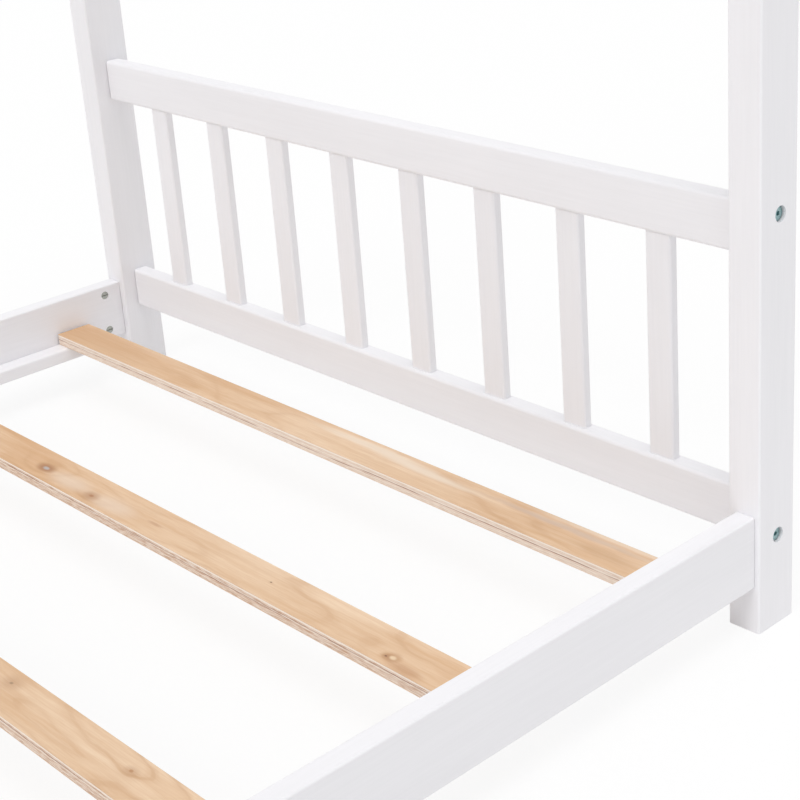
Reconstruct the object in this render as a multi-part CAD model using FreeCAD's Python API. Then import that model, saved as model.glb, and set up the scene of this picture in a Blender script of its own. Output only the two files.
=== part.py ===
import FreeCAD, Part
import math
import os

# A low platform bed for a child: railed head and foot ends between tall posts, side rails with cleats that
# carry loose plywood slats, and a house-shaped frame of rafters and beams over the posts.
# Millimetres. X runs across the bed, Y along it with the head end at +Y, Z up from the floor.

# Room for the mattress.
mattress_width = 990.0
mattress_length = 1905.0
mattress_side_gap = 8.0
mattress_end_gap = 7.5

# Corner posts.
post_width = 35.0
post_depth = 52.0
post_round = 2.5

# Side rails, butted against the posts' facing sides.
side_rail_thickness = 21.0
side_rail_height = 73.0
side_rail_inset = 5.0
side_rail_round = 2.0
side_rail_end_round = 1.0
side_bolt_edge = 12.5
floor_gap = 47.0

# Rails of the head and foot ends.
end_rail_height = 50.0
end_rail_thickness = 20.0
end_rail_setback = 18.0
end_rail_round = 4.0
end_bolt_edge = 9.0
end_dowel_edge = 14.0
bottom_rail_base = 84.0
headboard_height = 410.0

# Spindles, tenoned into the end rails.
spindle_count = 8
spindle_width = 30.0
spindle_thickness = 11.0
spindle_round = 2.8
tenon_width = 20.0
tenon_thickness = 7.0
tenon_length = 14.0

# Cleats and slats.
cleat_width = 24.0
cleat_height = 17.0
cleat_round = 2.5
cleat_end_gap = 45.0
slat_count = 8
slat_width = 46.0
slat_thickness = 14.0
slat_round = 0.8
slat_end_gap = 2.0
first_slat_margin = 77.0
last_slat_margin = 116.0
slat_stray_shares = (0, -0.031, 0, 0.015, -0.02, 0.01, -0.015, 0)

# House frame over the posts.
eave_height = 1121.0
roof_pitch_degrees = 45.0
rafter_height = 35.0
rafter_round = 2.5
beam_thickness = 22.0
beam_height = 50.0
beam_round = 3.0
beam_over_bolt_share = 0.2
beam_dowel_share = 0.16
ridge_drop = 2.0
ridge_dowel_drop = 17.0

# Connector bolts with a flat head and a hexagon socket.
bolt_diameter = 6.0
bolt_head_diameter = 13.5
bolt_head_thickness = 3.0
bolt_head_round = 0.8
bolt_tip = 3.0
bolt_tip_room = 2.0
socket_across_flats = 4.0
socket_depth = 2.0
counterbore_diameter = 15.0
counterbore_depth = 6.0

# Barrel nuts, threaded inserts and dowels.
nut_diameter = 10.0
nut_length = 14.0
nut_recess = 0.5
nut_setback = 23.5
nut_slot_width = 1.4
nut_slot_depth = 1.4
insert_diameter = 9.0
insert_length = 20.0
insert_recess = 1.0
dowel_diameter = 8.0
dowel_length = 30.0
dowel_chamfer = 1.0

# Countersunk screws through the cleats.
screw_count = 6
screw_end_margin = 20.0
screw_diameter = 4.0
screw_length = 38.0
screw_head_diameter = 8.0
screw_head_depth = 2.6
screw_cross_length = 4.6
screw_cross_width = 1.1
screw_cross_depth = 1.6

# Clearances.
joint_gap = 0.1
lap_play = 0.2
tenon_play = 0.2
mortise_room = 0.6
bolt_hole_play = 1.0
thread_play = 0.2
seat_play = 0.3
dowel_play = 0.2
dowel_room = 0.8
screw_play = 0.2
cut_margin = 4.0

parallel_share = 0.999

# Places that follow from the sizes above.
half_width = mattress_width / 2 + mattress_side_gap + side_rail_thickness + side_rail_inset
half_inner = mattress_length / 2 + mattress_end_gap
half_length = half_inner + post_depth
post_inner_x = half_width - post_width
post_mid_x = half_width - post_width / 2
lap_mid_y = half_inner + post_depth / 2
side_outer_x = half_width - side_rail_inset
side_inner_x = side_outer_x - side_rail_thickness
side_mid_x = side_outer_x - side_rail_thickness / 2
side_top_z = floor_gap + side_rail_height
cleat_inner_x = side_inner_x - cleat_width
cleat_half_length = half_inner - cleat_end_gap
cleat_top_z = floor_gap + cleat_height
slat_top_z = cleat_top_z + slat_thickness
slat_half_length = side_inner_x - slat_end_gap
slat_pitch = (2 * half_inner - first_slat_margin - last_slat_margin) / (slat_count - 1)
rail_front_y = half_inner + end_rail_setback
rail_back_y = rail_front_y + end_rail_thickness
rail_mid_y = rail_front_y + end_rail_thickness / 2
rail_half_length = post_inner_x - joint_gap
bottom_rail_top_z = bottom_rail_base + end_rail_height
top_rail_low_z = headboard_height - end_rail_height
spindle_gap = (2 * post_inner_x - spindle_count * spindle_width) / (spindle_count + 1)
spindle_pitch = spindle_gap + spindle_width
bolt_hole_diameter = bolt_diameter + bolt_hole_play

roof_pitch = math.radians(roof_pitch_degrees)
roof_slope = math.tan(roof_pitch)
rafter_rise = rafter_height / math.cos(roof_pitch)
rafter_run = rafter_height / math.sin(roof_pitch) / 2
apex_z = eave_height + half_width * roof_slope
eave_bolt_z = eave_height + post_width / 2 * roof_slope - rafter_rise / 2
eave_beam_top = eave_bolt_z + beam_over_bolt_share * beam_height
eave_beam_low = eave_beam_top - beam_height
eave_dowel_z = eave_beam_low + beam_dowel_share * beam_height
ridge_bolt_z = apex_z - rafter_rise / 2
ridge_dowel_z = ridge_bolt_z - ridge_dowel_drop
ridge_top = apex_z - beam_thickness / 2 * roof_slope - ridge_drop
beam_half_length = half_inner - joint_gap

along_x = FreeCAD.Vector(1, 0, 0)
along_y = FreeCAD.Vector(0, 1, 0)
along_z = FreeCAD.Vector(0, 0, 1)
centre = FreeCAD.Vector(0, 0, 0)


def point(x, y, z):
    return FreeCAD.Vector(x, y, z)


def block(x_span, y_span, z_span):
    """Plain block between the ends of three spans."""
    sizes = [span[1] - span[0] for span in (x_span, y_span, z_span)]
    return Part.makeBox(*sizes, point(x_span[0], y_span[0], z_span[0]))


def rounded(shape, direction, radius):
    """Rounds the straight edges that run along a direction."""
    edges = []
    for edge in shape.Edges:
        run = edge.Vertexes[-1].Point - edge.Vertexes[0].Point
        if abs(run.normalize().dot(direction)) > parallel_share:
            edges.append(edge)
    return shape.makeFillet(radius, edges)


def prism(outline, y_span):
    """Outline of (x, z) corners carried along Y."""
    corners = [point(x, y_span[0], z) for x, z in outline]
    face = Part.Face(Part.makePolygon(corners + corners[:1]))
    return face.extrude(along_y * (y_span[1] - y_span[0]))


def rod(start, direction, length, diameter):
    return Part.makeCylinder(diameter / 2, length, start, direction)


def drilled(shape, cutters):
    """Takes all the cutters out of a piece in one step."""
    return shape.cut(Part.makeCompound(cutters))


def across(shape):
    """The same piece on the other side of the bed."""
    return shape.mirror(centre, along_x)


def to_foot(shape):
    """The same piece at the foot end."""
    return shape.mirror(centre, along_y)


def both_sides(shapes):
    return shapes + [across(shape) for shape in shapes]


def both_ends(shapes):
    return shapes + [to_foot(shape) for shape in shapes]


def write(name, shape):
    shape.exportStep("parts/" + name + ".step")


def write_group(name, shapes):
    write(name, Part.makeCompound(shapes))


def bolt(seat, inward, length):
    """Flat-headed bolt: the head stands on the counterbore's floor, the shank runs into the wood."""
    head = Part.makeCylinder(bolt_head_diameter / 2, bolt_head_thickness)
    rim = [edge for edge in head.Edges if edge.BoundBox.ZMin > bolt_head_thickness / 2]
    head = head.makeFillet(bolt_head_round, rim)
    corner = socket_across_flats / math.sqrt(3)
    turns = [math.radians(60 * step) for step in range(7)]
    floor = bolt_head_thickness - socket_depth
    hexagon = Part.makePolygon([point(corner * math.cos(a), corner * math.sin(a), floor) for a in turns])
    socket = Part.Face(hexagon).extrude(along_z * (socket_depth + cut_margin))
    shank = rod(centre, -along_z, length, bolt_diameter)
    whole = head.fuse(shank).cut(socket)
    whole.Placement = FreeCAD.Placement(seat, FreeCAD.Rotation(along_z, -inward))
    return whole


def barrel_nut(mouth, inward, bolt_run, bolt_depth):
    """Slotted cross dowel sunk from a face; the bolt crosses it at a depth under that face."""
    body = Part.makeCylinder(nut_diameter / 2, nut_length)
    reach = nut_diameter / 2 + cut_margin
    slot = block((-reach, reach), (-nut_slot_width / 2, nut_slot_width / 2), (-cut_margin, nut_slot_depth))
    thread = rod(point(-reach, 0, bolt_depth - nut_recess), along_x, 2 * reach, bolt_diameter + thread_play)
    nut = drilled(body, [slot, thread])
    turn = FreeCAD.Rotation(bolt_run, inward.cross(bolt_run), inward, "ZXY")
    nut.Placement = FreeCAD.Placement(mouth + inward * nut_recess, turn)
    return nut


def dowel(middle, direction):
    """Beech dowel with chamfered ends, half in each piece."""
    pin = rod(middle - direction * (dowel_length / 2), direction, dowel_length, dowel_diameter)
    rims = [edge for edge in pin.Edges if len(edge.Vertexes) == 1]
    return pin.makeChamfer(dowel_chamfer, rims)


def dowel_socket(middle, direction):
    half = dowel_length / 2 + dowel_room
    return rod(middle - direction * half, direction, 2 * half, dowel_diameter + dowel_play)


def screw(mouth, inward, play):
    """Countersunk screw, or with a play the hole for it."""
    neck = screw_diameter / 2 + play / 2
    rim = screw_head_diameter / 2 + play / 2
    head = Part.makeCone(rim, neck, screw_head_depth, mouth, inward)
    shank = rod(mouth, inward, screw_length + play, 2 * neck)
    return head.fuse(shank)


def cross_recess(mouth, inward):
    half_arm = screw_cross_length / 2
    half_blade = screw_cross_width / 2
    sunk = (-cut_margin, screw_cross_depth)
    arms = block((-half_arm, half_arm), (-half_blade, half_blade), sunk)
    arms = arms.fuse(block((-half_blade, half_blade), (-half_arm, half_arm), sunk))
    arms.Placement = FreeCAD.Placement(mouth, FreeCAD.Rotation(along_z, inward))
    return arms


def lengthwise_joint(x, z, nut_face_x, nut_inward):
    """Bolt along Y through the head end's frame into a nut near the end of a rail or beam.
    Gives the bolt, the nut, the cutters for the frame and those for the rail."""
    reach = nut_setback + nut_diameter / 2 + bolt_tip
    inner = half_inner - joint_gap
    seat = point(x, half_length - counterbore_depth, z)
    shank = post_depth - counterbore_depth + joint_gap + reach
    mouth = point(nut_face_x, inner - nut_setback, z)
    bolt_depth = abs(x - nut_face_x)
    frame_cutters = [
        rod(point(x, half_length + cut_margin, z), -along_y,
            cut_margin + counterbore_depth, counterbore_diameter),
        rod(point(x, half_length, z), -along_y, post_depth + cut_margin, bolt_hole_diameter),
    ]
    nut_hole = cut_margin + nut_recess + nut_length + seat_play
    rail_cutters = [
        rod(point(x, half_inner + cut_margin, z), -along_y,
            cut_margin + joint_gap + reach + bolt_tip_room, bolt_hole_diameter),
        rod(mouth - nut_inward * cut_margin, nut_inward, nut_hole, nut_diameter + seat_play),
    ]
    nut = barrel_nut(mouth, nut_inward, along_y, bolt_depth)
    return bolt(seat, -along_y, shank), nut, frame_cutters, rail_cutters


def crosswise_joint(z):
    """Bolt along X through the right post into a threaded insert in the end of an end rail.
    Gives the bolt, the insert, the cutters for the post and those for the rail."""
    seat = point(half_width - counterbore_depth, rail_mid_y, z)
    shank = post_width - counterbore_depth + joint_gap + insert_recess + insert_length
    start = point(rail_half_length - insert_recess, rail_mid_y, z)
    sleeve = rod(start, -along_x, insert_length, insert_diameter)
    bore = rod(start + along_x * cut_margin, -along_x,
               insert_length + 2 * cut_margin, bolt_diameter + thread_play)
    post_cutters = [
        rod(point(half_width + cut_margin, rail_mid_y, z), -along_x,
            cut_margin + counterbore_depth, counterbore_diameter),
        rod(point(half_width, rail_mid_y, z), -along_x, post_width + cut_margin, bolt_hole_diameter),
    ]
    depth = cut_margin + insert_recess + insert_length + bolt_tip_room
    rail_cutters = [rod(start + along_x * (cut_margin + insert_recess), -along_x,
                        depth, insert_diameter + seat_play)]
    return bolt(seat, -along_x, shank), sleeve.cut(bore), post_cutters, rail_cutters


def end_rail(low_z, cutters):
    """Rail of the head end, rounded on every edge."""
    span = (-rail_half_length, rail_half_length)
    bar = block(span, (rail_front_y, rail_back_y), (low_z, low_z + end_rail_height))
    return drilled(bar.makeFillet(end_rail_round, bar.Edges), cutters)


def spindle(x):
    """Flat spindle with a tenon at both ends."""
    low = bottom_rail_top_z + joint_gap
    high = top_rail_low_z - joint_gap
    body = block((x - spindle_width / 2, x + spindle_width / 2),
                 (rail_mid_y - spindle_thickness / 2, rail_mid_y + spindle_thickness / 2), (low, high))
    return rounded(body, along_z, spindle_round).fuse(tenon(x, 0, (low - tenon_length, high + tenon_length)))


def tenon(x, play, z_span):
    return block((x - tenon_width / 2 - play, x + tenon_width / 2 + play),
                 (rail_mid_y - tenon_thickness / 2 - play, rail_mid_y + tenon_thickness / 2 + play), z_span)


def roof_z(x):
    """Height of the right rafter's upper face, carried on past the apex."""
    return apex_z - x * roof_slope


def roof_strip(x_span, drop, rise, y_span):
    """Prism between two lines parallel to the right rafter: drop under its upper face and rise over it."""
    low = [(x, roof_z(x) - drop) for x in x_span]
    high = [(x, roof_z(x) + rise) for x in reversed(x_span)]
    return prism(low + high, y_span)


def head_post(cutters):
    """Right post of the head end: top cut along the roof, inner half lapped away for the rafter."""
    top = roof_z(post_inner_x)
    bar = block((post_inner_x, half_width), (half_inner, half_length), (0, top))
    bar = rounded(bar, along_z, post_round)
    wide = (post_inner_x - cut_margin, half_width + cut_margin)
    over = post_width * roof_slope + cut_margin
    roof_cut = roof_strip(wide, 0, over, (half_inner - cut_margin, half_length + cut_margin))
    lap = roof_strip(wide, rafter_rise + lap_play, over, (half_inner - cut_margin, lap_mid_y + lap_play / 2))
    return drilled(bar, [roof_cut, lap] + cutters)


def rafter_bar():
    """Right rafter of the head end with its post lap. Its upper end is square to it, flush with the other
    roof face."""
    outline = [
        (half_width, eave_height),
        (half_width, eave_height - rafter_rise),
        (-rafter_run, apex_z - rafter_rise + rafter_run * roof_slope),
        (0, apex_z),
    ]
    slant = point(math.cos(roof_pitch), 0, -math.sin(roof_pitch))
    bar = rounded(prism(outline, (half_inner, half_length)), slant, rafter_round)
    low = eave_height - rafter_rise - cut_margin
    post_lap = block((post_inner_x - lap_play, half_width + cut_margin),
                     (lap_mid_y - lap_play / 2, half_length + cut_margin),
                     (low, roof_z(post_inner_x) + cut_margin))
    return bar.cut(post_lap)


def apex_lap(y_span):
    """Room for the left rafter in the right one, at the apex."""
    reach = (-rafter_rise, rafter_rise)
    return across(roof_strip(reach, rafter_rise + lap_play, cut_margin, y_span))


def beam(x, top, cutters):
    bar = block((x - beam_thickness / 2, x + beam_thickness / 2),
                (-beam_half_length, beam_half_length), (top - beam_height, top))
    return drilled(rounded(bar, along_y, beam_round), cutters)


os.makedirs("parts", exist_ok=True)

# Fasteners of the right corner at the head end, with the cutters that they need.
end_bolts = []
end_inserts = []
end_dowels = []
post_cutters = []
rail_cutters = {}
for rail_name, low_z, bolt_z, dowel_z in (
    ("bottom", bottom_rail_base, bottom_rail_base + end_bolt_edge, bottom_rail_top_z - end_dowel_edge),
    ("top", top_rail_low_z, headboard_height - end_bolt_edge, top_rail_low_z + end_dowel_edge),
):
    one_bolt, one_insert, cut_post, cut_rail = crosswise_joint(bolt_z)
    pin_middle = point(post_inner_x, rail_mid_y, dowel_z)
    socket = dowel_socket(pin_middle, along_x)
    end_bolts.append(one_bolt)
    end_inserts.append(one_insert)
    end_dowels.append(dowel(pin_middle, along_x))
    post_cutters += cut_post + [socket]
    rail_cutters[rail_name] = (low_z, both_sides(cut_rail + [socket]))

side_bolts = []
side_nuts = []
side_cutters = []
for bolt_z in (floor_gap + side_bolt_edge, side_top_z - side_bolt_edge):
    one_bolt, one_nut, cut_post, cut_rail = lengthwise_joint(side_mid_x, bolt_z, side_inner_x, along_x)
    side_bolts.append(one_bolt)
    side_nuts.append(one_nut)
    post_cutters += cut_post
    side_cutters += cut_rail

eave_face_x = post_mid_x - beam_thickness / 2
eave_bolt, eave_nut, eave_frame_cutters, eave_beam_cutters = lengthwise_joint(
    post_mid_x, eave_bolt_z, eave_face_x, along_x)
eave_pin_middle = point(post_mid_x, half_inner, eave_dowel_z)
eave_socket = dowel_socket(eave_pin_middle, along_y)
eave_frame_cutters.append(eave_socket)
eave_beam_cutters.append(eave_socket)

ridge_bolt, ridge_nut, ridge_frame_cutters, ridge_beam_cutters = lengthwise_joint(
    0, ridge_bolt_z, -beam_thickness / 2, along_x)
ridge_pin_middle = point(0, half_inner, ridge_dowel_z)
ridge_socket = dowel_socket(ridge_pin_middle, along_y)
ridge_frame_cutters.append(ridge_socket)
ridge_beam_cutters.append(ridge_socket)

# Posts and rafters.
post = head_post(post_cutters + eave_frame_cutters)
write("post_head_right", post)
write("post_head_left", across(post))
write("post_foot_right", to_foot(post))
write("post_foot_left", to_foot(across(post)))

plain_rafter = rafter_bar().cut(Part.makeCompound(eave_frame_cutters))
inner_half = (half_inner - cut_margin, lap_mid_y + lap_play / 2)
outer_half = (lap_mid_y - lap_play / 2, half_length + cut_margin)
right_rafter = drilled(plain_rafter, [apex_lap(inner_half)] + ridge_frame_cutters)
left_rafter = drilled(across(plain_rafter), [across(apex_lap(outer_half))] + ridge_frame_cutters)
write("rafter_head_right", right_rafter)
write("rafter_head_left", left_rafter)
write("rafter_foot_right", to_foot(right_rafter))
write("rafter_foot_left", to_foot(left_rafter))

# Beams between the two gables.
eave_beam = beam(post_mid_x, eave_beam_top, both_ends(eave_beam_cutters))
write("eave_beam_right", eave_beam)
write("eave_beam_left", across(eave_beam))
write("ridge_beam", beam(0, ridge_top, both_ends(ridge_beam_cutters)))

# Head and foot ends: two rails and a row of spindles each.
spindle_places = [(place - (spindle_count - 1) / 2) * spindle_pitch for place in range(spindle_count)]
for rail_name, (low_z, cutters) in rail_cutters.items():
    if rail_name == "bottom":
        span = (bottom_rail_top_z - tenon_length - mortise_room, bottom_rail_top_z + cut_margin)
    else:
        span = (top_rail_low_z - cut_margin, top_rail_low_z + tenon_length + mortise_room)
    mortises = [tenon(x, tenon_play, span) for x in spindle_places]
    rail = end_rail(low_z, cutters + mortises)
    write("headboard_" + rail_name + "_rail", rail)
    write("footboard_" + rail_name + "_rail", to_foot(rail))
for number, x in enumerate(spindle_places, 1):
    one_spindle = spindle(x)
    write("headboard_spindle_" + str(number), one_spindle)
    write("footboard_spindle_" + str(number), to_foot(one_spindle))

# Side rails and cleats, screwed together from the cleats' inner faces.
screw_span = 2 * (cleat_half_length - screw_end_margin)
screw_z = floor_gap + cleat_height / 2
screw_places = [(place / (screw_count - 1) - 1 / 2) * screw_span for place in range(screw_count)]
screw_mouths = [point(cleat_inner_x, y, screw_z) for y in screw_places]
screw_holes = [screw(mouth, along_x, screw_play) for mouth in screw_mouths]
screws = [screw(mouth, along_x, 0).cut(cross_recess(mouth, along_x)) for mouth in screw_mouths]

side_rail = block((side_inner_x, side_outer_x), (-beam_half_length, beam_half_length),
                  (floor_gap, side_top_z))
side_rail = rounded(side_rail, along_y, side_rail_round)
end_faces = [face for face in side_rail.Faces if face.BoundBox.YLength < side_rail_end_round]
side_rail = side_rail.makeFillet(side_rail_end_round, [edge for face in end_faces for edge in face.Edges])
side_rail = drilled(side_rail, both_ends(side_cutters) + screw_holes)
write("side_rail_right", side_rail)
write("side_rail_left", across(side_rail))

cleat = block((cleat_inner_x, side_inner_x), (-cleat_half_length, cleat_half_length),
              (floor_gap, cleat_top_z))
cleat = drilled(rounded(cleat, along_y, cleat_round), screw_holes)
write("slat_cleat_right", cleat)
write("slat_cleat_left", across(cleat))

# Slats, laid loose across the cleats, the first one at the head. Each strays a little from an even pitch.
for number in range(slat_count):
    stray = slat_stray_shares[number % len(slat_stray_shares)]
    middle = half_inner - first_slat_margin - (number + stray) * slat_pitch
    board = block((-slat_half_length, slat_half_length),
                  (middle - slat_width / 2, middle + slat_width / 2), (cleat_top_z, slat_top_z))
    write("slat_" + str(number + 1), rounded(board, along_x, slat_round))

# Hardware, one group for each kind and joint.
write_group("end_rail_bolts", both_ends(both_sides(end_bolts)))
write_group("end_rail_inserts", both_ends(both_sides(end_inserts)))
write_group("end_rail_dowels", both_ends(both_sides(end_dowels)))
write_group("side_rail_bolts", both_ends(both_sides(side_bolts)))
write_group("side_rail_barrel_nuts", both_ends(both_sides(side_nuts)))
write_group("eave_bolts", both_ends(both_sides([eave_bolt])))
write_group("eave_barrel_nuts", both_ends(both_sides([eave_nut])))
write_group("eave_dowels", both_ends(both_sides([dowel(eave_pin_middle, along_y)])))
write_group("ridge_bolts", both_ends([ridge_bolt]))
write_group("ridge_barrel_nuts", both_ends([ridge_nut]))
write_group("ridge_dowels", both_ends([dowel(ridge_pin_middle, along_y)]))
write_group("cleat_screws", both_sides(screws))
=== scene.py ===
import math

import bpy
import numpy as np
from mathutils import Matrix, Vector


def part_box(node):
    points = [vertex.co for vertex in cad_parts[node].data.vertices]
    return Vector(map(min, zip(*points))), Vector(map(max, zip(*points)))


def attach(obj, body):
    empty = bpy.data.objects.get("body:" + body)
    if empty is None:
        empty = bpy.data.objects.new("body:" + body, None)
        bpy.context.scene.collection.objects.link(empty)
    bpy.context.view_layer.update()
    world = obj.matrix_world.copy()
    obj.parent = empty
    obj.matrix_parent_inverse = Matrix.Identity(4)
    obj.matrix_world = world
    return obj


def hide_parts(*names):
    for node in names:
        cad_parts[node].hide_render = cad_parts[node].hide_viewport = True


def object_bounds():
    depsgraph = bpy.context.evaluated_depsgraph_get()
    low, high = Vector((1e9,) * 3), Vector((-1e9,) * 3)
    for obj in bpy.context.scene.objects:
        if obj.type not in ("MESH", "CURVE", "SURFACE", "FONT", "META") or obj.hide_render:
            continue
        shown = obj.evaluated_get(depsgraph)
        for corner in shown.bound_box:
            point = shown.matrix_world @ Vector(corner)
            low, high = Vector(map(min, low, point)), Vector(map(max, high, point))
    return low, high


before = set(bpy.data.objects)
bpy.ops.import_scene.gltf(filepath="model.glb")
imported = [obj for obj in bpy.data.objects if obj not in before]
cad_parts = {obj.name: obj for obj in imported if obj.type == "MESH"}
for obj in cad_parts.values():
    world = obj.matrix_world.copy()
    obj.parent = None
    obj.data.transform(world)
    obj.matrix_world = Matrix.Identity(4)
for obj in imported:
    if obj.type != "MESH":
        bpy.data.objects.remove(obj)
cad_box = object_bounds()

mm = 0.001

# Slats: sizes of their looks. Their places come from the frame.
ply_count = 7
saw_depth = 0.2 * mm
saw_wave_count = 3
saw_radians_per_metre = (18, 160)
end_step = 0.5 * mm
end_skew = 1.5 * mm
edge_ease = 0.8 * mm
station_pitch = 8 * mm
arc_points = 4

# Slow change of the wood along a slat, in its face and in its edge.
drift_length, drift_width = 360 * mm, 60 * mm

# Knots in the slats' faces: slat number, mm along and across from its middle, half length and half width
# in mm, the heart's share of the knot, its colour, and how brown the ring round it is.
knots = (
    (2, -165, -4, 14, 7, 0.4, "#B7AEAA", 0.8),
    (2, -70, -10, 12, 7, 0.3, "#B07E58", 0.5),
    (2, 214, 1, 4, 2.5, 0.4, "#6E4B36", 0.1),
    (2, 388, -13, 5, 3.5, 0.3, "#6E4B36", 0.3),
    (2, 395, -11, 8, 6, 0.5, "#E6CBA8", 0.3),
    (3, 178, 8, 13, 9, 0.2, "#A88A6C", 0.35),
    (3, 360, 6, 8, 5, 0.3, "#BE9068", 0.3),
    (4, -310, 9, 11, 6, 0.4, "#BFB7B3", 0.7),
    (5, 205, 4, 6, 4, 0.3, "#6E4B36", 0.3),
    (6, 120, -8, 9, 5, 0.3, "#AD7A52", 0.4),
    (7, 290, 6, 12, 6, 0.4, "#C4B5A8", 0.7),
    (8, -150, 10, 8, 5, 0.3, "#AD7A52", 0.35),
)

# Soft tints in the slats' faces: slat number, mm along and across from its middle, half length and half
# width in mm, the colour and how strong it is.
tints = (
    (1, -450, 0, 130, 32, "#CBA077", 0.5),
    (1, 70, 12, 95, 6, "#F1E1CF", 0.7),
    (1, 165, 6, 80, 6, "#F1E1CF", 0.7),
    (1, 350, 11, 110, 4, "#D0BAAC", 0.6),
    (1, 400, 20, 100, 4, "#EEDBC6", 0.6),
    (1, 412, -5, 45, 9, "#B8895B", 0.4),
    (2, -205, 0, 60, 24, "#D1A57C", 0.4),
    (2, -115, -6, 40, 12, "#EFDDCB", 0.5),
    (2, -36, -8, 40, 12, "#EFDDCB", 0.5),
    (2, 33, -3, 12, 2, "#B98868", 0.5),
    (2, 416, -17, 22, 6, "#B98862", 0.55),
    (4, 180, -8, 120, 7, "#F0DFCC", 0.5),
    (5, -300, 8, 140, 8, "#CBA077", 0.4),
    (6, 260, 10, 100, 6, "#F0DFCC", 0.55),
    (7, -120, -6, 110, 8, "#CDA47C", 0.4),
    (8, 330, 6, 120, 7, "#F0DFCC", 0.5),
)

# Plywood sheets that the slats were sawn from: name of the edge, its darkest glue line, counted in plies
# from below, how coarse its grain is, and the numbers of the slats.
sheets = (
    ("close_grained_plywood_edge", 4, 0.4, (1, 4, 6, 7)),
    ("coarse_grained_plywood_edge", 5, 1.0, (2, 3, 5, 8)),
)

# Camera, found from the edges of the posts and rails. Its place is in metres.
image_size = 800
focal_pixels = 1723
axis_pixel = (480, 320)
sensor_width = 36
camera_place = Vector((1.364, -0.157, 0.862))
camera_azimuth = math.radians(46.70)
camera_pitch = math.radians(21.24)
camera_roll = math.radians(-3.39)

# Studio light: each lamp's name, the place that it shines from in metres, its spread and its strength.
lamps = (
    ("front_lamp", Vector((0.6, -7, 6)), math.radians(24), 0.85),
    ("side_lamp", Vector((2.5, -0.5, 8)), math.radians(30), 0.82),
    ("back_lamp", Vector((-2, 7, 3)), math.radians(30), 0.3),
)
sky_level = 0.6

# Floor: its width in metres, and the share of plain white in what the camera sees of it.
floor_width = 80
floor_glow_share = 0.86


def linear(hex_colour):
    """Linear RGBA of an sRGB hex colour: each channel goes through the two-part sRGB curve."""
    srgb = np.array([int(hex_colour[start:start + 2], 16) for start in (1, 3, 5)]) / 255
    channels = np.where(srgb <= 0.04045, srgb / 12.92, ((srgb + 0.055) / 1.055) ** 2.4)
    return (*channels.tolist(), 1.0)


def add(tree, kind, inputs=None, **settings):
    """Adds one node, sets its properties, and fills its sockets, by name or number, with values or links."""
    made = tree.nodes.new("ShaderNode" + kind)
    for name, value in settings.items():
        setattr(made, name, value)
    for key, value in (inputs or {}).items():
        if isinstance(value, bpy.types.NodeSocket):
            tree.links.new(value, made.inputs[key])
        else:
            made.inputs[key].default_value = value
    return made


def new_material(name):
    """An empty node material with its output and its Object coordinates."""
    material = bpy.data.materials.new(name)
    material.use_nodes = True
    tree = material.node_tree
    tree.nodes.clear()
    output = add(tree, "OutputMaterial")
    place = add(tree, "TexCoord").outputs["Object"]
    return material, tree, output, place


def painted_pine(name, turn):
    """Planed pine under sprayed satin white lacquer. The eye gets an even white with a soft sheen and, close
    by, the ghost of the grain along the bar. turn takes the X axis onto the bar's length."""
    grain_length, grain_width = 70 * mm, 2.2 * mm
    cloud_length, cloud_width = 260 * mm, 60 * mm
    grain_depth = 0.05 * mm
    material, tree, output, place = new_material(name)
    along = add(tree, "Mapping", {"Vector": place, "Rotation": turn,
                                  "Scale": (grain_length, grain_width, grain_width)}, vector_type="TEXTURE")
    grain = add(tree, "TexNoise", {"Vector": along.outputs[0], "Scale": 1.0, "Detail": 3.0,
                                   "Roughness": 0.55})
    wide = add(tree, "Mapping", {"Vector": place, "Rotation": turn,
                                 "Scale": (cloud_length, cloud_width, cloud_width)}, vector_type="TEXTURE")
    cloud = add(tree, "TexNoise", {"Vector": wide.outputs[0], "Scale": 1.0, "Detail": 2.0})
    both = add(tree, "Math", {0: grain.outputs["Fac"], 1: cloud.outputs["Fac"]}, operation="ADD")
    tone = add(tree, "MapRange", {"Value": both.outputs[0], "From Min": 0.7, "From Max": 1.3})
    colour = add(tree, "MixRGB", {"Fac": tone.outputs[0], "Color1": linear("#EFEEF1"),
                                  "Color2": linear("#F3F2F5")})
    sheen = add(tree, "MapRange", {"Value": cloud.outputs["Fac"], "To Min": 0.34, "To Max": 0.46})
    bump = add(tree, "Bump", {"Height": grain.outputs["Fac"], "Strength": 0.2, "Distance": grain_depth})
    shader = add(tree, "BsdfPrincipled", {"Base Color": colour.outputs[0], "Roughness": sheen.outputs[0],
                                          "Normal": bump.outputs[0]})
    tree.links.new(shader.outputs[0], output.inputs["Surface"])
    return material


def slat_grain(tree, place, length, width, detail, seed):
    """Wood grain along the slats: noise whose cells are as long and as wide as given, in metres."""
    cells = add(tree, "Mapping", {"Vector": place, "Scale": (length, width, width)}, vector_type="TEXTURE")
    return add(tree, "TexNoise", {"Vector": cells.outputs[0], "W": seed, "Scale": 1.0, "Detail": detail},
               noise_dimensions="4D")


def mark_distance(tree, place, mark):
    """Distance from the middle of a knot or tint, in units of its half length and half width."""
    number, along, across, half_length, half_width = mark[:5]
    low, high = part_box("slat_" + str(number))
    middle = ((low[0] + high[0]) / 2 + along * mm, (low[1] + high[1]) / 2 + across * mm, high[2])
    half_size = (half_length * mm, half_width * mm, half_width * mm)
    reach = add(tree, "Mapping", {"Vector": place, "Location": middle, "Scale": half_size},
                vector_type="TEXTURE")
    return add(tree, "VectorMath", {0: reach.outputs[0]}, operation="LENGTH").outputs["Value"]


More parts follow.
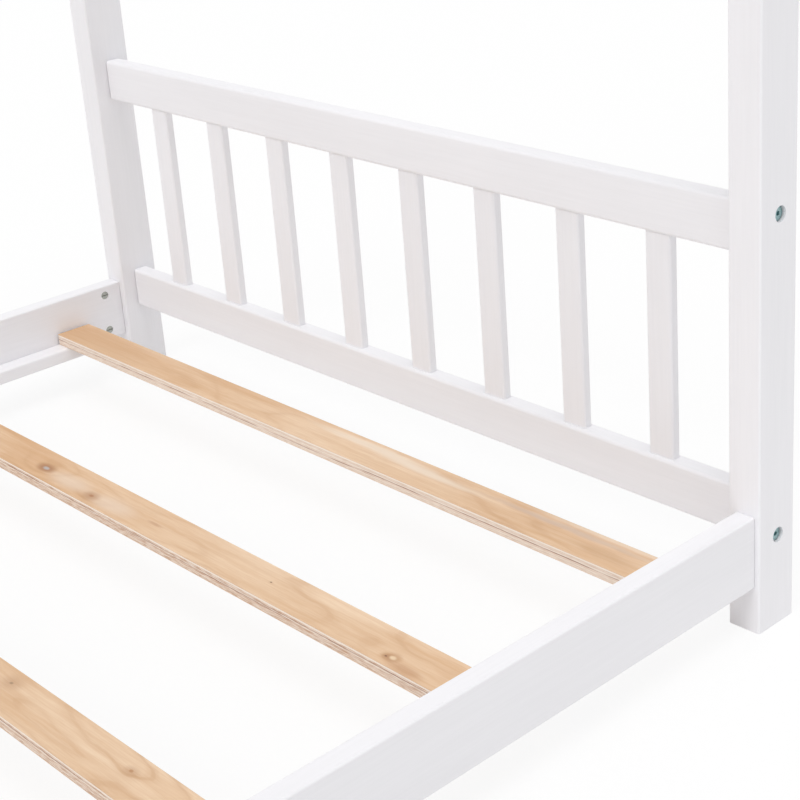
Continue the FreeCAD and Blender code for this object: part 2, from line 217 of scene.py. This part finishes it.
def birch_veneer():
    """Rotary-cut birch face veneer, sanded and left raw. The eye gets a golden tan with soft contour figure
    that wanders along the board and closes round the knots, paler and browner streaks and tints, fine fibre
    and a matt face."""
    warp_size, warp_reach = 14 * mm, 5 * mm
    figure_length, figure_width = 260 * mm, 44 * mm
    streak_length, streak_width = 150 * mm, 5 * mm
    # The fibre of birch is too fine to show at this distance, so it is drawn about three times as wide.
    fibre_length, fibre_width = 30 * mm, 1.2 * mm
    fibre_depth = 0.1 * mm
    contour_rate = 46.0
    knot_lift = 0.25
    faint_figure, clear_figure, figure_by_knot = 0.06, 0.42, 0.6
    streak_share, drift_share, fibre_share = 0.42, 0.62, 0.3
    # How far a knot's lift and its ring reach, and where a tint fades, in half sizes of the mark.
    knot_reach, ring_reach = 5.0, 1.5
    tint_core, tint_rim = 0.3, 1.4
    # Where the heart of a knot fades, in shares of the heart.
    heart_core, heart_rim = 0.4, 1.3

    material, tree, output, place = new_material("rotary_cut_birch_veneer")
    stir = slat_grain(tree, place, 2 * warp_size, warp_size, detail=2.0, seed=1.0)
    centred = add(tree, "VectorMath", {0: stir.outputs["Color"], 1: (0.5, 0.5, 0.5)}, operation="SUBTRACT")
    moved = add(tree, "VectorMath", {0: centred.outputs[0], "Scale": warp_reach}, operation="SCALE")
    warped = add(tree, "VectorMath", {0: place, 1: moved.outputs[0]}, operation="ADD").outputs[0]

    # Each knot lifts the field round it, so that the figure's contours close round the knot.
    field = slat_grain(tree, warped, figure_length, figure_width, detail=1.0, seed=2.0).outputs["Fac"]
    distances = [mark_distance(tree, warped, knot) for knot in knots]
    nearest = distances[0]
    for distance, (*_, ring_strength) in zip(distances, knots):
        lift = add(tree, "MapRange", {"Value": distance, "From Min": 0.0, "From Max": knot_reach,
                                      "To Min": knot_lift * ring_strength, "To Max": 0.0},
                   interpolation_type="SMOOTHSTEP")
        field = add(tree, "Math", {0: field, 1: lift.outputs[0]}, operation="ADD").outputs[0]
        nearest = add(tree, "Math", {0: nearest, 1: distance}, operation="MINIMUM").outputs[0]
    phase = add(tree, "Math", {0: field, 1: contour_rate}, operation="MULTIPLY")
    wave = add(tree, "Math", {0: phase.outputs[0]}, operation="SINE")
    broad = add(tree, "MapRange", {"Value": wave.outputs[0], "From Min": -0.8, "From Max": 1.0,
                                   "To Max": 0.55}, interpolation_type="SMOOTHSTEP")
    arc = add(tree, "MapRange", {"Value": wave.outputs[0], "From Min": 0.72, "From Max": 1.0,
                                 "To Max": 0.5}, interpolation_type="SMOOTHSTEP")
    band = add(tree, "Math", {0: broad.outputs[0], 1: arc.outputs[0]}, operation="ADD")
    patch = slat_grain(tree, place, figure_length, figure_width, detail=1.0, seed=3.0)
    strength = add(tree, "MapRange", {"Value": patch.outputs["Fac"], "From Min": 0.35, "From Max": 0.65,
                                      "To Min": faint_figure, "To Max": clear_figure})
    by_knot = add(tree, "MapRange", {"Value": nearest, "From Min": 1.0, "From Max": knot_reach,
                                     "To Min": figure_by_knot, "To Max": 0.0})
    stronger = add(tree, "Math", {0: strength.outputs[0], 1: by_knot.outputs[0]}, operation="MAXIMUM")
    figure = add(tree, "Math", {0: band.outputs[0], 1: stronger.outputs[0]}, operation="MULTIPLY")

    # The ground goes from pale to tan by streaks and drift, and the figure and the fibre darken it.
    streak = slat_grain(tree, warped, streak_length, streak_width, detail=3.0, seed=4.0)
    streaky = add(tree, "MapRange", {"Value": streak.outputs["Fac"], "From Min": 0.3, "From Max": 0.7,
                                     "To Max": streak_share})
    drift = slat_grain(tree, warped, drift_length, drift_width, detail=2.0, seed=9.0)
    drifted = add(tree, "MapRange", {"Value": drift.outputs["Fac"], "From Min": 0.32, "From Max": 0.68,
                                     "To Max": drift_share})
    tone = add(tree, "Math", {0: streaky.outputs[0], 1: drifted.outputs[0]}, operation="ADD")
    fibre = slat_grain(tree, place, fibre_length, fibre_width, detail=3.0, seed=5.0)
    fine = add(tree, "MapRange", {"Value": fibre.outputs["Fac"], "From Min": 0.4, "From Max": 0.75,
                                  "To Max": fibre_share})
    ground = add(tree, "MixRGB", {"Fac": tone.outputs[0], "Color1": linear("#F3D9BC"),
                                  "Color2": linear("#D4AA80")})
    figured = add(tree, "MixRGB", {"Fac": figure.outputs[0], "Color1": ground.outputs[0],
                                   "Color2": linear("#C4976D")})
    colour = add(tree, "MixRGB", {"Fac": fine.outputs[0], "Color1": figured.outputs[0],
                                  "Color2": linear("#CDA27A")}).outputs[0]

    for mark in tints:
        tint_colour, tint_strength = mark[5:]
        spread = add(tree, "MapRange", {"Value": mark_distance(tree, warped, mark), "From Min": tint_core,
                                        "From Max": tint_rim, "To Min": tint_strength, "To Max": 0.0},
                     interpolation_type="SMOOTHSTEP")
        colour = add(tree, "MixRGB", {"Fac": spread.outputs[0], "Color1": colour,
                                      "Color2": linear(tint_colour)}).outputs[0]
    for distance, knot in zip(distances, knots):
        heart_share, heart_colour, ring_strength = knot[5:]
        ring = add(tree, "MapRange", {"Value": distance, "From Min": heart_share, "From Max": ring_reach,
                                      "To Min": ring_strength, "To Max": 0.0},
                   interpolation_type="SMOOTHSTEP")
        ringed = add(tree, "MixRGB", {"Fac": ring.outputs[0], "Color1": colour, "Color2": linear("#A26F49")})
        heart = add(tree, "MapRange", {"Value": distance, "From Min": heart_share * heart_core,
                                       "From Max": heart_share * heart_rim, "To Min": 1.0, "To Max": 0.0},
                    interpolation_type="SMOOTHSTEP")
        colour = add(tree, "MixRGB", {"Fac": heart.outputs[0], "Color1": ringed.outputs[0],
                                      "Color2": linear(heart_colour)}).outputs[0]

    matt = add(tree, "MapRange", {"Value": fibre.outputs["Fac"], "To Min": 0.55, "To Max": 0.7})
    bump = add(tree, "Bump", {"Height": fibre.outputs["Fac"], "Strength": 0.3, "Distance": fibre_depth})
    shader = add(tree, "BsdfPrincipled", {"Base Color": colour, "Roughness": matt.outputs[0],
                                          "Normal": bump.outputs[0]})
    tree.links.new(shader.outputs[0], output.inputs["Surface"])
    return material


def plywood_edge(name, low, high, dark_line, coarseness):
    """Sawn edge of birch plywood. The eye gets thin cream and pinkish plies by turns, each of its own tone,
    under a pale face ply, brown broken glue lines between them, one of them darker and thicker, and short
    dashes of end grain, which are stronger in a coarse sheet."""
    dash_length, dash_height, dash_depth = 10 * mm, 0.8 * mm, 0.15 * mm
    break_length = 45 * mm
    # Strengths towards brown: the plies' own random tones, and the painted shade along the bottom ply.
    ply_shade, painted_shade_strength = 0.2 * coarseness, 0.4 * coarseness
    thin_weight = 0.35
    # Heights in plies: how far the plies lean, where the face ply starts and how blurred its border is.
    least_lean, most_lean = 0.15, 0.65
    face_start, face_blur = ply_count - 1, 0.05
    level_margin = 0.01
    # From the middle of a ply, in plies: where a thin and a dark glue line start, and where both are full.
    thin_start, dark_start, line_full = 0.4, 0.14, 0.47

    material, tree, output, place = new_material(name)
    height = add(tree, "SeparateXYZ", {0: place})
    plies = add(tree, "MapRange", {"Value": height.outputs["Z"], "From Min": low[2], "From Max": high[2],
                                   "To Max": ply_count}, clamp=False)
    sway = slat_grain(tree, place, break_length, break_length, detail=2.0, seed=6.0)
    lean = add(tree, "MapRange", {"Value": sway.outputs["Fac"], "To Min": least_lean, "To Max": most_lean})
    swayed = add(tree, "Math", {0: plies.outputs[0], 1: lean.outputs[0]}, operation="ADD")
    level = add(tree, "Clamp", {"Value": swayed.outputs[0], "Min": level_margin,
                                "Max": ply_count - level_margin}).outputs[0]
    number = add(tree, "Math", {0: level}, operation="FLOOR")
    inside = add(tree, "Math", {0: level}, operation="FRACT")
    parity = add(tree, "Math", {0: number.outputs[0], 1: 2.0}, operation="FLOORED_MODULO")
    tone = add(tree, "TexWhiteNoise", {"W": number.outputs[0]}, noise_dimensions="1D")

    # Plies: cream and pinkish by turns, with dashes, the bottom one browner by painted shade, and the face
    # ply on top.
    dashes = slat_grain(tree, place, dash_length, dash_height, detail=3.0, seed=7.0)
    dash = add(tree, "MapRange", {"Value": dashes.outputs["Fac"], "From Min": 0.42, "From Max": 0.62,
                                  "To Max": coarseness})
    cream = add(tree, "MixRGB", {"Fac": dash.outputs[0], "Color1": linear("#F4E6D8"),
                                 "Color2": linear("#D9BDA4")})
    pink = add(tree, "MixRGB", {"Fac": dash.outputs[0], "Color1": linear("#F1DFCF"),
                                "Color2": linear("#C59F84")})
    ply = add(tree, "MixRGB", {"Fac": parity.outputs[0], "Color1": cream.outputs[0],
                               "Color2": pink.outputs[0]})
    shade = add(tree, "MapRange", {"Value": tone.outputs["Value"], "To Min": 0.0, "To Max": ply_shade})
    # Painted shade: the bottom ply is mixed towards brown, more in a coarse sheet.
    painted_bottom_shade = add(tree, "MapRange", {"Value": level, "From Min": 0.9, "From Max": 1.3, "To Min": painted_shade_strength,
                                    "To Max": 0.0})
    tone_and_painted_shade = add(tree, "Math", {0: shade.outputs[0], 1: painted_bottom_shade.outputs[0]}, operation="MAXIMUM")
    toned = add(tree, "MixRGB", {"Fac": tone_and_painted_shade.outputs[0], "Color1": ply.outputs[0],
                                 "Color2": linear("#C99D7C")})
    under_face = add(tree, "MapRange", {"Value": level, "From Min": face_start + face_blur,
                                        "From Max": face_start - face_blur})
    faced = add(tree, "MixRGB", {"Fac": under_face.outputs[0], "Color1": linear("#F6E8DA"),
                                 "Color2": toned.outputs[0]})

    # Glue lines: drawn where a ply ends. The darkest one wanders by up to a ply. None lies on the face ply.
    from_middle = add(tree, "Math", {0: inside.outputs[0], 1: 0.5}, operation="SUBTRACT")
    off_middle = add(tree, "Math", {0: from_middle.outputs[0]}, operation="ABSOLUTE")
    slow = slat_grain(tree, place, drift_length, drift_width, detail=1.0, seed=10.0)
    deeper = add(tree, "MapRange", {"Value": slow.outputs["Fac"], "From Min": 0.34, "From Max": 0.5,
                                    "To Min": dark_line - 1, "To Max": dark_line})
    from_dark = add(tree, "Math", {0: level, 1: deeper.outputs[0]}, operation="SUBTRACT")
    off_dark = add(tree, "Math", {0: from_dark.outputs[0]}, operation="ABSOLUTE")
    darkest = add(tree, "MapRange", {"Value": off_dark.outputs[0], "From Min": 0.5, "From Max": 0.6,
                                     "To Min": 1.0, "To Max": 0.0})
    line_start = add(tree, "MapRange", {"Value": darkest.outputs[0], "To Min": thin_start,
                                        "To Max": dark_start})
    line = add(tree, "MapRange", {"Value": off_middle.outputs[0], "From Min": line_start.outputs[0],
                                  "From Max": line_full})
    gaps = slat_grain(tree, place, break_length, dash_height, detail=2.0, seed=8.0)
    broken = add(tree, "MapRange", {"Value": gaps.outputs["Fac"], "From Min": 0.4, "From Max": 0.54})
    weight = add(tree, "MapRange", {"Value": darkest.outputs[0], "To Min": thin_weight, "To Max": 1.0})
    below_top = add(tree, "MapRange", {"Value": level, "From Min": face_start + 0.4,
                                       "From Max": face_start + 0.5, "To Min": 1.0, "To Max": 0.0})
    drawn = add(tree, "Math", {0: line.outputs[0], 1: broken.outputs[0]}, operation="MULTIPLY")
    weighed = add(tree, "Math", {0: drawn.outputs[0], 1: weight.outputs[0]}, operation="MULTIPLY")
    glue = add(tree, "Math", {0: weighed.outputs[0], 1: below_top.outputs[0]}, operation="MULTIPLY")
    colour = add(tree, "MixRGB", {"Fac": glue.outputs[0], "Color1": faced.outputs[0],
                                  "Color2": linear("#884A2E")})

    bump = add(tree, "Bump", {"Height": dashes.outputs["Fac"], "Strength": 0.4, "Distance": dash_depth})
    shader = add(tree, "BsdfPrincipled", {"Base Color": colour.outputs[0], "Roughness": 0.75,
                                          "Normal": bump.outputs[0]})
    tree.links.new(shader.outputs[0], output.inputs["Surface"])
    return material


def zinc_plate(name, dark, light):
    """Zinc-plated steel between two shades. The eye gets a cool metal, softly blurred and clouded by the
    plating."""
    crystal = 2.5 * mm
    material, tree, output, place = new_material(name)
    size = add(tree, "Mapping", {"Vector": place, "Scale": (crystal, crystal, crystal)},
               vector_type="TEXTURE")
    cloud = add(tree, "TexNoise", {"Vector": size.outputs[0], "Scale": 1.0, "Detail": 3.0})
    colour = add(tree, "MixRGB", {"Fac": cloud.outputs["Fac"], "Color1": linear(dark),
                                  "Color2": linear(light)})
    blur = add(tree, "MapRange", {"Value": cloud.outputs["Fac"], "To Min": 0.26, "To Max": 0.42})
    shader = add(tree, "BsdfPrincipled", {"Base Color": colour.outputs[0], "Metallic": 1.0,
                                          "Roughness": blur.outputs[0]})
    tree.links.new(shader.outputs[0], output.inputs["Surface"])
    return material


def turned_beech():
    """Turned beech dowel. The eye gets a pinkish tan with short darker rays."""
    ray_length, ray_width = 3 * mm, 0.6 * mm
    material, tree, output, place = new_material("turned_beech")
    size = add(tree, "Mapping", {"Vector": place, "Scale": (ray_length, ray_width, ray_width)},
               vector_type="TEXTURE")
    rays = add(tree, "TexNoise", {"Vector": size.outputs[0], "Scale": 1.0, "Detail": 2.0})
    fleck = add(tree, "MapRange", {"Value": rays.outputs["Fac"], "From Min": 0.5, "From Max": 0.75})
    colour = add(tree, "MixRGB", {"Fac": fleck.outputs[0], "Color1": linear("#DDB892"),
                                  "Color2": linear("#B98B63")})
    shader = add(tree, "BsdfPrincipled", {"Base Color": colour.outputs[0], "Roughness": 0.6})
    tree.links.new(shader.outputs[0], output.inputs["Surface"])
    return material


def seen_directly(tree):
    """Light Path's share for camera, glossy and transmission rays, 1 for any of them."""
    path = add(tree, "LightPath")
    mirrored = add(tree, "Math", {0: path.outputs["Is Camera Ray"], 1: path.outputs["Is Glossy Ray"]},
                   operation="MAXIMUM")
    return add(tree, "Math", {0: mirrored.outputs[0], 1: path.outputs["Is Transmission Ray"]},
               operation="MAXIMUM").outputs[0]


def studio_floor():
    """Matt white studio paper. The eye gets a plain white that keeps a faint shadow under the bed."""
    paper_grain = 6 * mm
    material, tree, output, place = new_material("white_studio_paper")
    size = add(tree, "Mapping", {"Vector": place, "Scale": (paper_grain, paper_grain, paper_grain)},
               vector_type="TEXTURE")
    fleck = add(tree, "TexNoise", {"Vector": size.outputs[0], "Scale": 1.0, "Detail": 2.0})
    colour = add(tree, "MixRGB", {"Fac": fleck.outputs["Fac"], "Color1": linear("#F4F4F4"),
                                  "Color2": linear("#F8F8F8")})
    matt = add(tree, "BsdfDiffuse", {"Color": colour.outputs[0]})
    glow = add(tree, "Emission", {"Color": linear("#FFFFFF"), "Strength": 1.0})
    share = add(tree, "Math", {0: seen_directly(tree), 1: floor_glow_share}, operation="MULTIPLY")
    mix = add(tree, "MixShader", {0: share.outputs[0], 1: matt.outputs[0], 2: glow.outputs[0]})
    tree.links.new(mix.outputs[0], output.inputs["Surface"])
    return material


def mesh_object(name, points, faces):
    """A mesh object at the origin with its place in its points."""
    mesh = bpy.data.meshes.new(name)
    mesh.from_pydata(points.tolist(), [], faces)
    mesh.update()
    made = bpy.data.objects.new(name, mesh)
    bpy.context.collection.objects.link(made)
    return made


def slat_profile(width, thickness):
    """Outline of a slat's cross-section, as offsets from its middle: a rectangle whose four corners are
    quarter arcs, with one point per ply boundary along each side. Also gives each outline step's material
    number, 0 for the faces and 1 for the sides, and the share of saw marks that each point takes."""
    turn = np.linspace(0, math.pi / 2, arc_points)
    arc = np.stack([np.cos(turn), np.sin(turn)], axis=1) * edge_ease
    corner = np.array([width / 2 - edge_ease, thickness / 2 - edge_ease])
    first = corner + arc
    boundaries = np.linspace(-corner[1], corner[1], ply_count + 1)[1:-1]
    side = np.stack([np.full(ply_count - 1, width / 2), boundaries], axis=1)
    second = first[::-1] * (-1, 1)
    right = np.concatenate([side, first])
    left = np.concatenate([second, side[::-1] * (-1, 1), first * (-1, -1), first[::-1] * (1, -1)])
    outline = np.concatenate([right, left])
    sawn = (np.abs(outline[:, 1]) < corner[1] + edge_ease / 2).astype(float)
    sawn_step = np.minimum(sawn, np.roll(sawn, -1))
    return outline, sawn_step.astype(int), sawn


def slat_board(name, seed):
    """A slat's cross-section carried along X between the ends of its CAD node. The sides are drawn in by saw
    marks, the mean of a few waves along the length for each point of the outline, and each end leans and
    steps a little."""
    rng = np.random.default_rng(seed)
    low, high = (np.array(corner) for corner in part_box(name))
    middle, span = (low + high) / 2, high - low
    outline, material_number, sawn = slat_profile(span[1], span[2])
    count = len(outline)
    stations = np.linspace(-span[0] / 2, span[0] / 2, round(span[0] / station_pitch))
    waves = rng.uniform(*saw_radians_per_metre, (saw_wave_count, 1, 1)) * stations[None, :, None]
    shifts = rng.uniform(0, 2 * math.pi, (saw_wave_count, 1, count))
    marks = (1 + np.sin(waves + shifts).mean(axis=0)) / 2 * saw_depth * sawn
    across = outline[:, 0] - np.sign(outline[:, 0]) * marks
    share = stations[:, None] / stations[-1]
    lean = rng.uniform(0, end_skew, 2)
    steps = rng.uniform(0, end_step, (2, count))
    tilt = 0.5 + outline[:, 0] / span[1]
    trim = np.where(share > 0, lean[0] * tilt + steps[0], lean[1] * tilt + steps[1])
    x = stations[:, None] - share * trim
    points = np.stack([x, across, np.broadcast_to(outline[:, 1], x.shape)], axis=2).reshape(-1, 3) + middle

    row = np.arange(len(stations) - 1)[:, None] * count
    here = np.arange(count)[None, :]
    after = (here + 1) % count
    corners = [row + after, row + count + after, row + count + here, row + here]
    quads = np.stack(corners, axis=2).reshape(-1, 4)
    start_cap = list(range(count))[::-1]
    end_cap = list(range(len(points) - count, len(points)))
    made = mesh_object(name + "_board", points, quads.tolist() + [start_cap, end_cap])
    numbers = np.concatenate([np.tile(material_number, len(stations) - 1), [1, 1]])
    made.data.polygons.foreach_set("material_index", numbers.astype(np.int32))
    return made


# Finishes of the CAD nodes. The lacquer's grain follows each bar.
quarter = math.pi / 2
lacquer_across = painted_pine("white_lacquered_pine_across", (0, 0, 0))
lacquer_along = painted_pine("white_lacquered_pine_along", (0, 0, quarter))
lacquer_upright = painted_pine("white_lacquered_pine_upright", (0, quarter, 0))
lacquer_rafter_left = painted_pine("white_lacquered_pine_rafter_left", (0, -quarter / 2, 0))
lacquer_rafter_right = painted_pine("white_lacquered_pine_rafter_right", (0, quarter / 2, 0))
blue_zinc = zinc_plate("blue_zinc_plated_steel", "#7C9DA0", "#A9C1C2")
plain_zinc = zinc_plate("plain_zinc_plated_steel", "#8E9089", "#B9BAB4")
beech = turned_beech()
finish_by_word = (
    ("dowels", beech),
    ("bolts", blue_zinc),
    ("nuts", plain_zinc),
    ("inserts", plain_zinc),
    ("screws", blue_zinc),
    ("rafter_head_left", lacquer_rafter_left),
    ("rafter_foot_left", lacquer_rafter_left),
    ("rafter", lacquer_rafter_right),
    ("post", lacquer_upright),
    ("spindle", lacquer_upright),
    ("side_rail", lacquer_along),
    ("cleat", lacquer_along),
    ("beam", lacquer_along),
    ("board", lacquer_across),
)
for name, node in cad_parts.items():
    for word, finish in finish_by_word:
        if word in name:
            node.data.materials.clear()
            node.data.materials.append(finish)
            break

# Slats.
slat_names = sorted(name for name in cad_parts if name.startswith("slat_") and name[-1].isdigit())
veneer = birch_veneer()
edges = {}
for sheet, dark_line, coarseness, numbers in sheets:
    edge = plywood_edge(sheet, *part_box(slat_names[0]), dark_line, coarseness)
    edges.update({"slat_" + str(number): edge for number in numbers})
for seed, name in enumerate(slat_names):
    board = slat_board(name, seed)
    board.data.materials.append(veneer)
    board.data.materials.append(edges[name])
    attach(board, "root")
    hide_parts(name)

# Floor, light and background.
floor_z = cad_box[0][2]
half_floor = floor_width / 2
floor_points = np.array([(-half_floor, -half_floor, floor_z), (half_floor, -half_floor, floor_z),
                         (half_floor, half_floor, floor_z), (-half_floor, half_floor, floor_z)])
floor = mesh_object("studio_floor", floor_points, [(0, 1, 2, 3)])
floor.data.materials.append(studio_floor())

for name, place, spread, strength in lamps:
    light = bpy.data.lights.new(name, "SUN")
    light.angle = spread
    light.energy = strength
    lamp = bpy.data.objects.new(name, light)
    lamp.location = place
    lamp.rotation_euler = place.to_track_quat("Z", "Y").to_euler()
    bpy.context.collection.objects.link(lamp)

world = bpy.data.worlds.new("white_studio")
bpy.context.scene.world = world
world.use_nodes = True
sky = world.node_tree
sky.nodes.clear()
sky_output = add(sky, "OutputWorld")
even_light = add(sky, "Background", {"Color": linear("#FFFFFF"), "Strength": sky_level})
white_wall = add(sky, "Background", {"Color": linear("#FFFFFF"), "Strength": 1.0})
sky_mix = add(sky, "MixShader", {0: seen_directly(sky), 1: even_light.outputs[0], 2: white_wall.outputs[0]})
sky.links.new(sky_mix.outputs[0], sky_output.inputs["Surface"])
bpy.context.scene.view_settings.view_transform = "Standard"

# Camera at the photograph's place: it looks along azimuth and pitch, and rolls about that line.
ahead = Vector((-math.sin(camera_azimuth) * math.cos(camera_pitch),
                math.cos(camera_azimuth) * math.cos(camera_pitch),
                -math.sin(camera_pitch)))
level_right = Vector((math.cos(camera_azimuth), math.sin(camera_azimuth), 0))
level_up = level_right.cross(ahead)
right = level_right * math.cos(camera_roll) + level_up * math.sin(camera_roll)
up = level_up * math.cos(camera_roll) - level_right * math.sin(camera_roll)
lens = bpy.data.cameras.new("camera")
lens.sensor_width = sensor_width
lens.lens = focal_pixels / image_size * sensor_width
lens.shift_x = (image_size / 2 - axis_pixel[0]) / image_size
lens.shift_y = (axis_pixel[1] - image_size / 2) / image_size
camera = bpy.data.objects.new("camera", lens)
camera.matrix_world = Matrix.Translation(camera_place) @ Matrix((right, up, -ahead)).transposed().to_4x4()
bpy.context.collection.objects.link(camera)
bpy.context.scene.camera = camera
